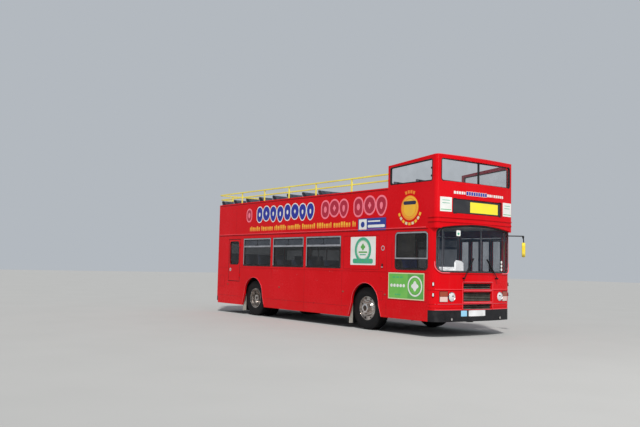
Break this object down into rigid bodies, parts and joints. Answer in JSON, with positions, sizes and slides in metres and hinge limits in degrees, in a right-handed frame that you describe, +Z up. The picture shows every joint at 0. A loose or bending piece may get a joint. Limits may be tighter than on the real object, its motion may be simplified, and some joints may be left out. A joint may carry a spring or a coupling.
{
  "type": "open top double decker bus",
  "caption": "Right-hand-drive open top double decker bus with steered front wheels, twin rear wheels, folding entrance doors, an engine cover and an emergency door.",
  "frame": {"origin": "on the road surface, on the centre line, halfway along the body", "axes": "+X forwards, +Y to the nearside (left, entrance side), +Z up"},
  "size_m": [9.6594, 2.9105, 3.9269],
  "materials": {
    "body_red": "gloss, faded a little",
    "door_red": "gloss",
    "chassis_paint": "matt, road-dirty",
    "axle_iron": "oily, road-dirty",
    "engine_iron": "matt",
    "floor_covering": "ribbed, matt",
    "deck_covering": "ribbed, matt",
    "wheel_box_paint": "matt",
    "bumper_black": "satin",
    "grille_black": "matt",
    "bare_aluminium": "brushed",
    "window_glass": "clear, lightly tinted",
    "interior_laminate": "satin",
    "seat_cloth": "woven",
    "cab_plastic": "grained",
    "rail_yellow": "gloss",
    "lamp_lens": "clear",
    "mirror_yellow": "gloss",
    "wiper_black": "matt",
    "tyre_rubber": "matt",
    "wheel_silver": "worn silver paint"
  },
  "bodies": {
    "bus_body": {"bumpers": "bumper_black", "chassis_frame": "chassis_paint", "dashboard": "cab_plastic", "engine_block": "engine_iron", "front_axle_beam": "axle_iron", "front_grille": "grille_black", "front_lower_panel": "body_red", "guard_rails": "rail_yellow", "lamps": "lamp_lens", "lower_floor": "floor_covering", "lower_side_panels": "body_red", "nearside_mirror": "mirror_yellow", "rear_axle_housing": "axle_iron", "rear_panel": "body_red", "seats": "seat_cloth", "staircase": "interior_laminate", "upper_floor": "deck_covering", "upper_front_panel": "body_red", "upper_screen_frame": "body_red", "upper_side_panels": "body_red", "wheel_boxes": "wheel_box_paint", "window_frames": "bare_aluminium", "window_glass": "window_glass", "window_pillars": "body_red", "windscreen_glass": "window_glass", "wipers": "wiper_black"},
    "front_left_knuckle": {"front_left_knuckle": "axle_iron"},
    "front_right_knuckle": {"front_right_knuckle": "axle_iron"},
    "front_left_wheel": {"front_left_tyre": "tyre_rubber", "front_left_rim": "wheel_silver"},
    "front_right_wheel": {"front_right_tyre": "tyre_rubber", "front_right_rim": "wheel_silver"},
    "rear_left_wheels": {"rear_left_tyres": "tyre_rubber", "rear_left_rims": "wheel_silver"},
    "rear_right_wheels": {"rear_right_tyres": "tyre_rubber", "rear_right_rims": "wheel_silver"},
    "engine_cover": {"engine_cover": "body_red"},
    "emergency_door": {"emergency_door": "body_red", "emergency_door_glass": "window_glass"},
    "steering_wheel": {"steering_wheel": "cab_plastic"},
    "door_front_outer": {"door_front_outer_leaf": "door_red", "door_front_outer_glass": "window_glass"},
    "door_front_inner": {"door_front_inner_leaf": "door_red", "door_front_inner_glass": "window_glass"},
    "door_rear_outer": {"door_rear_outer_leaf": "door_red", "door_rear_outer_glass": "window_glass"},
    "door_rear_inner": {"door_rear_inner_leaf": "door_red", "door_rear_inner_glass": "window_glass"}
  },
  "joints": [
    {"name": "front_left_steer", "type": "hinge", "parent": "bus_body", "child": "front_left_knuckle", "pos_m": [2.41, 0.94, 0.5], "axis": [0, 0, 1], "range_deg": [-40, 40]},
    {"name": "front_right_steer", "type": "hinge", "parent": "bus_body", "child": "front_right_knuckle", "pos_m": [2.41, -0.94, 0.5], "axis": [0, 0, 1], "range_deg": [-40, 40]},
    {"name": "front_left_spin", "type": "hinge", "parent": "front_left_knuckle", "child": "front_left_wheel", "pos_m": [2.41, 1.04, 0.5], "axis": [0, 1, 0], "continuous": true},
    {"name": "front_right_spin", "type": "hinge", "parent": "front_right_knuckle", "child": "front_right_wheel", "pos_m": [2.41, -1.04, 0.5], "axis": [0, 1, 0], "continuous": true},
    {"name": "rear_left_spin", "type": "hinge", "parent": "bus_body", "child": "rear_left_wheels", "pos_m": [-2.543, 0.875, 0.5], "axis": [0, 1, 0], "continuous": true},
    {"name": "rear_right_spin", "type": "hinge", "parent": "bus_body", "child": "rear_right_wheels", "pos_m": [-2.543, -0.875, 0.5], "axis": [0, 1, 0], "continuous": true},
    {"name": "steering_wheel_turn", "type": "hinge", "parent": "bus_body", "child": "steering_wheel", "pos_m": [4.196, -0.8, 1.33], "axis": [-0.5736, 0, 0.8192], "range_deg": [-560, 560]},
    {"name": "engine_cover_hinge", "type": "hinge", "parent": "bus_body", "child": "engine_cover", "pos_m": [-4.79, 0, 1.336], "axis": [0, 1, 0], "range_deg": [0, 80]},
    {"name": "emergency_door_hinge", "type": "hinge", "parent": "bus_body", "child": "emergency_door", "pos_m": [-3.33, -1.26, 1.6], "axis": [0, 0, 1], "range_deg": [0, 100]},
    {"name": "door_front_post", "type": "hinge", "parent": "bus_body", "child": "door_front_outer", "pos_m": [4.403, 1.227, 1.28], "axis": [0, 0, 1], "range_deg": [0, 85]},
    {"name": "door_front_fold", "type": "hinge", "parent": "door_front_outer", "child": "door_front_inner", "pos_m": [4.0895, 1.246, 1.28], "axis": [0, 0, 1], "range_deg": [-170, 0]},
    {"name": "door_rear_post", "type": "hinge", "parent": "bus_body", "child": "door_rear_outer", "pos_m": [3.137, 1.227, 1.28], "axis": [0, 0, -1], "range_deg": [0, 85]},
    {"name": "door_rear_fold", "type": "hinge", "parent": "door_rear_outer", "child": "door_rear_inner", "pos_m": [3.4505, 1.246, 1.28], "axis": [0, 0, -1], "range_deg": [-170, 0]}
  ],
  "couplings": [
    {"joint": "front_right_steer", "follows": "front_left_steer", "ratio": 1},
    {"joint": "steering_wheel_turn", "follows": "front_left_steer", "ratio": 14},
    {"joint": "door_front_fold", "follows": "door_front_post", "ratio": -2},
    {"joint": "door_rear_fold", "follows": "door_rear_post", "ratio": -2}
  ]
}
